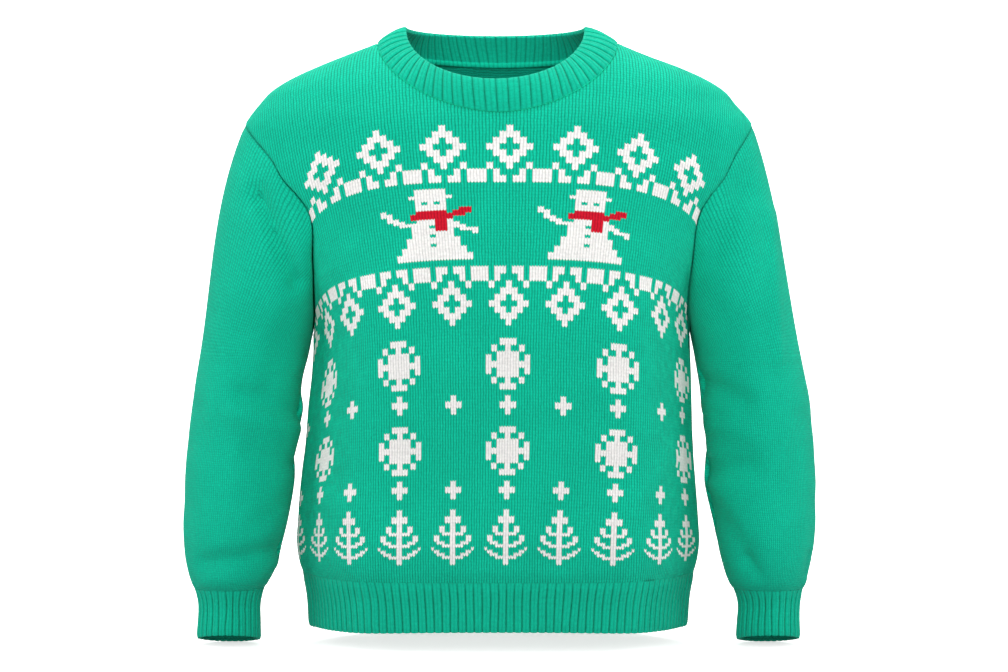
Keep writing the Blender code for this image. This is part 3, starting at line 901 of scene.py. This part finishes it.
def make_sleeve(name, side):
    turn = np.linspace(0, 2 * np.pi, SLEEVE_COLUMNS, endpoint=False)
    loop, into_body = armhole_loop(side, turn)
    biceps = sleeve_ring(BICEPS, side, turn)
    chord = biceps - loop
    round_it = np.stack([side * np.cos(turn), -np.sin(turn), 0 * turn], axis=-1)
    leave = chord + SHOULDER_ROUND[side] * (np.cos(turn / 2) ** 2)[:, None] * round_it
    length = np.linalg.norm(chord, axis=-1, keepdims=True)
    arrive = unit(sleeve_ring(BELOW_BICEPS, side, turn) - biceps) * length
    rows = []
    for t in np.linspace(0, 1, CAP_ROWS):
        start = (1 + 2 * t) * (1 - t) ** 2 * loop + t * (1 - t) ** 2 * leave
        rows.append(start + t**2 * (3 - 2 * t) * biceps - t**2 * (1 - t) * arrive)
    for height in np.linspace(BICEPS, SLEEVE_END, int((BICEPS - SLEEVE_END) / SLEEVE_STEP))[1:]:
        rows.append(sleeve_ring(height, side, turn))
    plain = np.array(rows)
    face = np.where(plain[..., 1] < SLEEVE_MIDDLE, FRONT, BACK)
    outer = plain - folded(plain, SLEEVE_FOLDS[side], side, face)[..., None] * outward(plain, True)
    along = unit(np.roll(loop, -1, axis=0) - np.roll(loop, 1, axis=0))
    away = unit(unit(across(leave, along)) - unit(across(into_body, along)))
    outer[0] = loop + SEAM * away
    steps = np.linalg.norm(np.diff(outer, axis=0), axis=-1)
    run = np.concatenate([0 * steps[:1], np.cumsum(steps, axis=0)])
    out = outward(outer, True)
    to_end = run[-1] - run
    reach = np.clip(np.minimum(run, to_end) / EDGE_REACH, 0, 1)
    inner = outer - out * (EDGE_WALL + (WALL - EDGE_WALL) * reach)[..., None]
    relief = np.where(np.arange(SLEEVE_COLUMNS) % 2 == 0, SLEEVE_WALE, -SLEEVE_WALE)
    at_cuff = CUFF_DIP * np.exp(-((to_end / SEAM_DIP_WIDE) ** 2))
    dip = SEAM_DIP * (np.exp(-((run / SEAM_DIP_WIDE) ** 2)) + at_cuff)
    outer = outer - out * (relief + dip)[..., None]
    keep = np.r_[0, np.arange(2, len(outer) - 2, LINING_STEP), len(outer) - 1][::-1]
    rows = np.concatenate([outer, inner[keep]])
    v = -np.concatenate([run.mean(axis=1), run.mean(axis=1)[keep]]) / SLEEVE_ROW
    slots = np.where(np.arange(len(rows)) < len(outer), 0, 1)
    return tube(name, rows, SLEEVE_STITCHES, v, slots, (SLEEVE_YARN, GREEN_PURL))


for side, word in ((LEFT, "left"), (RIGHT, "right")):
    sleeve = make_sleeve("sleeve_cloth_" + word, side)
    dress(sleeve, "sleeve_" + word)

# ------------------------------------------------------------------------------
# Cuffs
# ------------------------------------------------------------------------------
# Each cuff is a band of one-by-one rib, knitted on to the sleeve and drawn in by its own stretch. Its ribs
# stand up either side of narrow furrows, whose shade is also painted darker into the yarn, and its mouth is
# open.

RIB_CLOTH = 3.0
RIB_HEIGHT = 1.6
RIB = np.array([0.0, 0.42, 0.7, 0.87, 0.96, 1.0, 1.0, 1.0, 0.96, 0.87, 0.7, 0.42])  # across one rib
RIB_STRAY = 0.9  # how far a rib wanders to the side
RIB_START, RIB_RISES = 0.1, 0.16  # how high a rib is at the seam, and the share of the band in which it rises
MOUTH_RIB = 0.25  # how high it still is at the mouth
MOUTH = 0.07  # the share of the band that rounds in to its mouth
INSIDE_RIB = 0.35  # how deep the ribs press into the inside
SCALLOP = 0.7  # how much lower the ribs end than their furrows
CUFF_RIBS = 28
CUFF_START, CUFF_END = SLEEVE_END - KNITTED_ON, -652.0
CUFF_TILT = 0.22
CUFF_ROWS = 16
DENSER = 0.9  # under 1, a band's rows lie closer towards its mouth
CUFF = table(
    "height left right wide deep forward",
    (-652.0, 296, 294.0, 33.7, 34.2, 26),
    (-646.0, 296, 294.0, 33.4, 34.0, 26),
    (-630.0, 295.6, 294.4, 32.6, 33.2, 25.5),
    (-618.0, 295.6, 295.0, 32.3, 32.9, 25),
    (-610.0, 295.6, 295.0, 33.1, 33.7, 24.7),
    (-604.0, 295.6, 294.7, 34.8, 35.3, 24.4),
    (-597.0, 295.7, 294.0, 38.1, 38.0, 24),
)


def ribbed(plain, ring, count, share):
    """Raises ribs in a grid's points, as high on each row as its share."""
    pattern = np.tile(RIB, count)
    if not ring:
        pattern = np.append(pattern, RIB[0])
    return plain + (RIB_HEIGHT * np.outer(share, pattern))[..., None] * outward(plain, ring)


def band_rows(heights, plain_at, ring, ribs):
    """A ribbed band's rows down its outside, round its edge and back up inside."""
    plain = np.array([plain_at(height) for height in heights])
    down = (heights - heights[0]) / (heights[-1] - heights[0])
    turn = 2 * np.pi * np.arange(plain.shape[1]) / (ribs * len(RIB))
    stray = sum(np.sin(times * turn + times**2) for times in (5, 8, 13)) / 1.7
    beside = np.roll(plain, -1, axis=1) - plain if ring else np.gradient(plain, axis=1)
    held = 1 if ring else np.sin(turn / 2)
    slide = RIB_STRAY * np.outer(np.sin(np.pi * down) * np.cos(2 * down), stray * held)
    plain = plain + slide[..., None] * unit(beside)
    share = RIB_START + (1 - RIB_START) * eased(down / RIB_RISES)
    share = share * (MOUTH_RIB + (1 - MOUTH_RIB) * np.clip((1 - down) / MOUTH, 0, 1) ** 0.5)
    outer = ribbed(plain, ring, ribs, share)
    inner = ribbed(plain - RIB_CLOTH * outward(plain, ring), ring, ribs, -INSIDE_RIB * share)
    outer[..., 2] = inner[..., 2] = plain[..., 2]
    pattern = np.tile(RIB, ribs + 1)[: plain.shape[1]]
    outer[-1, :, 2] -= SCALLOP * pattern
    inner[-1, :, 2] -= SCALLOP * pattern
    return outer, inner


def make_cuff(name, side, word):
    turn = np.linspace(0, 2 * np.pi, CUFF_RIBS * len(RIB), endpoint=False)

    def ring_at(height):
        columns = (word, "wide", "deep", "forward")
        middle, wide, deep, forward = (smooth(CUFF, column, height) for column in columns)
        y = -deep * np.sin(turn)
        tilt = CUFF_TILT * (height - CUFF_START) / (CUFF_START - CUFF_END)
        return np.stack([side * (middle + wide * np.cos(turn)), y - forward, height + tilt * y], axis=-1)

    heights = CUFF_START + (CUFF_END - CUFF_START) * np.linspace(0, 1, CUFF_ROWS) ** DENSER
    outer, inner = band_rows(heights, ring_at, True, CUFF_RIBS)
    rows = np.concatenate([outer, inner[::-1]])
    v = np.concatenate([heights, heights[::-1]]) / ROW_TALL
    slots = np.where(np.arange(len(rows)) < CUFF_ROWS, 0, 1)
    return tube(name, rows, 2 * CUFF_RIBS, v, slots, (SHADED_RIB_YARN, GREEN_PURL))


for side, word in ((LEFT, "left"), (RIGHT, "right")):
    cuff = make_cuff("cuff_cloth_" + word, side, word)
    dress(cuff, "cuff_" + word)

# ------------------------------------------------------------------------------
# Hem
# ------------------------------------------------------------------------------
# The hem is two bands of the same rib, one knitted on to each panel and joined at the sides. It draws the
# body's cloth in a little, so that the panels bag out over it.

HEM_RIBS = 64
HEM_START, HEM_END = BODY_END - KNITTED_ON, -634.5
HEM_ROWS = 16
HEM_DROOP = 6.0  # how much lower its mouth hangs at the side seams


def evenly(line, count):
    """Points at equal steps along a line of points."""
    steps = np.concatenate([[0], np.cumsum(np.linalg.norm(np.diff(line, axis=0), axis=1))])
    at = np.linspace(0, steps[-1], count)
    return np.stack([np.interp(at, steps, line[:, i]) for i in range(3)], axis=-1)


def make_hem(name, face):
    def line_at(height):
        turn = np.linspace(-1, 1, SAMPLES) * np.pi / 2
        turned = np.sign(turn) * np.abs(np.sin(turn)) ** (2 / smooth(BODY, "square", height))
        line = on_body(turned, np.full(SAMPLES, height), face)
        line[:, 2] -= HEM_DROOP * np.abs(turned) ** 2.5 * (BODY_END - height) / (BODY_END - HEM_END)
        return evenly(line, HEM_RIBS * len(RIB) + 1)

    heights = HEM_START + (HEM_END - HEM_START) * np.linspace(0, 1, HEM_ROWS) ** DENSER
    outer, inner = band_rows(heights, line_at, False, HEM_RIBS)
    rows = np.concatenate([outer, inner[::-1], outer[:1]])
    rows[..., 1] = face * np.maximum(face * rows[..., 1], 0) + face * SEAM / 2
    high, wide = rows.shape[:2]
    faces, corners = grid_faces(high, wide, 0, False)
    faces = faces % ((high - 1) * wide)
    v = np.concatenate([heights, heights[::-1], heights[:1]]) / ROW_TALL
    uv = np.stack([corners[..., 1] * (2 / len(RIB)), v[corners[..., 0]]], axis=-1)
    faces, uv = faces.tolist(), list(uv)
    slots = np.where(corners[:, 0, 0] < HEM_ROWS, 0, 1).tolist()
    for column in (0, wide - 1):
        for r in range(HEM_ROWS - 1):
            far = 2 * HEM_ROWS - 1 - r
            cap = [k * wide + column for k in (r, r + 1, far - 1, far)]
            faces.append(cap[::-1] if column else cap)
            uv.append(np.zeros((4, 2)))
            slots.append(0)
    return make_mesh(name, rows[:-1].reshape(-1, 3), faces, uv, slots, (SHADED_RIB_YARN, GREEN_PURL))


for face, word in ((FRONT, "front"), (BACK, "back")):
    hem = make_hem("hem_cloth_" + word, face)
    dress(hem, "hem_" + word)

# ------------------------------------------------------------------------------
# Neckband
# ------------------------------------------------------------------------------
# The neckband is a strip of rib, folded double over its top edge and linked to the neckline on both faces. Its
# ribs fan out round the front, and inside, its linked edge shows as a raised line, painted lighter green as its
# highlight.

NECK_RIBS = 68
NECK_CLOTH = 4.0
BAND_HALF, BAND_FRONT, BAND_BACK = 99.5, 86.0, 74.0
BAND_MIDDLE = -4.5
BAND_HEIGHT, BAND_FRONT_DROP, BAND_BACK_DROP = 20.0, 67.0, 1.0
BAND_BOW = 2.5
BAND_ROWS = np.array([0, 0.04, 0.08, 0.12, 0.17, 0.25, 0.35, 0.47, 0.6, 0.73, 0.85, 0.94, 1])
BAND_TOP = ((0.012, -0.25), (0.03, -0.9), (0.038, -2.0), (0.03, -3.1), (0.012, -3.75))  # round its fold
TOP_RIB, NECK_INSIDE_RIB = 0.3, 0.45  # how high the ribs are over the fold, and how deep they press inside
LINKED_LINE, LINKED_AT, LINKED_WIDE = 2.0, 0.06, 0.045  # how proud it stands, and its place up the band
NECK_LAP = 1.2  # how far inside the band's linked edge reaches past the seam


def make_neckband(name):
    count = NECK_RIBS * len(RIB)
    half = count // 2
    lines = []
    for face in (FRONT, BACK):
        turn = np.linspace(-np.pi / 2, np.pi / 2, SAMPLES)
        share = np.sign(turn) * np.abs(np.sin(turn)) ** (2 / NECK_CURVE)
        out = share * body_half(NECK, share)
        height = neck_height(np.abs(out), out, face)
        on = np.sign(out) * np.minimum(np.abs(out) / body_half(height, out), 1)
        for deep in (0, 6):
            lower = np.maximum(height - deep, UNDERARM)
            lines.append(evenly(on_body(on, lower, face), half + 1))
    front_seam, front_low, back_seam, back_low = lines
    seam = np.concatenate([front_seam[:-1], back_seam[:0:-1]])
    low = np.concatenate([front_low[:-1], back_low[:0:-1]])
    turn = np.arctan2(seam[:, 0] - seam[:, 0].mean(), -seam[:, 1])
    ahead = np.abs(np.cos(turn))
    front_half = np.cos(turn) > 0
    y = np.where(front_half, -BAND_FRONT, BAND_BACK) * ahead
    drop = np.where(front_half, BAND_FRONT_DROP, BAND_BACK_DROP)
    edge = np.stack([BAND_MIDDLE + BAND_HALF * np.sin(turn), y, BAND_HEIGHT - drop * ahead], axis=-1)
    along = unit(np.roll(seam, -1, axis=0) - np.roll(seam, 1, axis=0))
    away = unit(unit(across(edge - seam, along)) - unit(across(low - seam, along)))
    start = seam + SEAM * away
    up = BAND_ROWS
    plain = start + (edge - start) * up[:, None, None]
    plain = plain + (BAND_BOW * np.sin(np.pi * up))[:, None, None] * outward(plain, True)
    out = outward(plain, True)
    share = np.interp(up, (0, 0.1, 0.9, 1), (0.6, 1, 1, 0.45))
    outer = ribbed(plain, True, NECK_RIBS, share)
    rise = edge - start
    rib = TOP_RIB * RIB_HEIGHT * np.tile(RIB, NECK_RIBS)[:, None]
    top = np.array([edge + rise * past + out[-1] * (sunk + rib) for past, sunk in BAND_TOP])
    line = LINKED_LINE * np.exp(-(((up - LINKED_AT) / LINKED_WIDE) ** 2))
    inner = ribbed(plain - (NECK_CLOTH + line)[:, None, None] * out, True, NECK_RIBS, -NECK_INSIDE_RIB * share)
    inner = inner - (NECK_LAP * np.clip(1 - up / 0.1, 0, 1))[:, None, None] * away
    rows = np.concatenate([outer, top, inner[::-1]])
    steps = np.linalg.norm(np.diff(rows, axis=0), axis=-1).mean(axis=1)
    v = np.concatenate([[0], np.cumsum(steps)]) / ROW_TALL
    # The last rows inside, along the linked line, take the lighter yarn: a painted highlight.
    slots = np.where(np.arange(len(rows)) < len(rows) - 4, 0, 1)
    return tube(name, rows, 2 * NECK_RIBS, v, slots, (SHADED_RIB_YARN, LINK_HIGHLIGHT_YARN))


neckband = make_neckband("neckband_cloth")
dress(neckband, "neckband")

# ------------------------------------------------------------------------------
# Stage
# ------------------------------------------------------------------------------
# A plain white floor that sweeps up behind, the soft light of large lamps from the front and both sides, and
# one that lights the floor behind. Colours are shown as they are, without a film look.

FLOOR = -0.66


def make_floor():
    bend = [(2.6 + math.sin(a), FLOOR + 1 - math.cos(a)) for a in np.linspace(0, math.pi / 2, 13)]
    profile = [(-4.0, FLOOR), *bend, (3.6, 6.0)]
    points = [(x, y, z) for y, z in profile for x in (-7.0, 7.0)]
    faces = [(2 * i, 2 * i + 1, 2 * i + 3, 2 * i + 2) for i in range(len(profile) - 1)]
    mesh = bpy.data.meshes.new("floor")
    mesh.from_pydata(points, [], faces)
    mesh.shade_smooth()
    paper = bpy.data.materials.new("white_paper")
    paper.use_nodes = True
    shader = paper.node_tree.nodes["Principled BSDF"]
    shader.inputs["Base Color"].default_value = (0.93, 0.93, 0.93, 1.0)
    shader.inputs["Roughness"].default_value = 1.0
    shader.inputs["Specular IOR Level"].default_value = 0.0
    shader.inputs["Emission Color"].default_value = (1.0, 1.0, 1.0, 1.0)
    shader.inputs["Emission Strength"].default_value = 0.68
    mesh.materials.append(paper)
    floor = bpy.data.objects.new("floor", mesh)
    bpy.context.collection.objects.link(floor)
    floor.visible_diffuse = False  # so that it throws no light up at the cloth
    return floor


def lamp(name, place, aim, size, power):
    light = bpy.data.lights.new(name, "AREA")
    light.shape = "DISK"
    light.size = size
    light.energy = power
    made = bpy.data.objects.new(name, light)
    bpy.context.collection.objects.link(made)
    made.location = place
    direction = np.array(aim) - np.array(place)
    yaw = math.atan2(direction[1], direction[0]) - math.pi / 2
    pitch = math.atan2(direction[2], math.hypot(direction[0], direction[1])) + math.pi / 2
    made.rotation_euler = (pitch, 0, yaw)


make_floor()
bpy.context.scene.view_settings.view_transform = "Standard"
CHEST = (0, 0, -0.3)
lamp("left_key", (-0.8, -2.05, 0.3), CHEST, 1.4, 18)
lamp("right_key", (0.9, -2.05, 0.3), CHEST, 1.4, 18.8)
lamp("left_side", (-2.7, -0.6, 0.3), CHEST, 1.6, 26)
lamp("right_side", (2.7, -0.6, 0.3), CHEST, 1.6, 25)
lamp("backdrop", (0, 0.9, 2.2), (0, 3.0, 0.4), 3.0, 140)
world = bpy.data.worlds.new("studio")
world.use_nodes = True
world.node_tree.nodes["Background"].inputs["Color"].default_value = (1.0, 1.0, 1.0, 1.0)
world.node_tree.nodes["Background"].inputs["Strength"].default_value = 0.27
bpy.context.scene.world = world

camera_data = bpy.data.cameras.new("camera")
camera_data.lens = 82.35
camera_data.sensor_width = 36.0
camera = bpy.data.objects.new("camera", camera_data)
bpy.context.collection.objects.link(camera)
camera.location = (0.005, -2.55, -0.3216)
camera.rotation_euler = (math.pi / 2, 0, 0)
bpy.context.scene.camera = camera
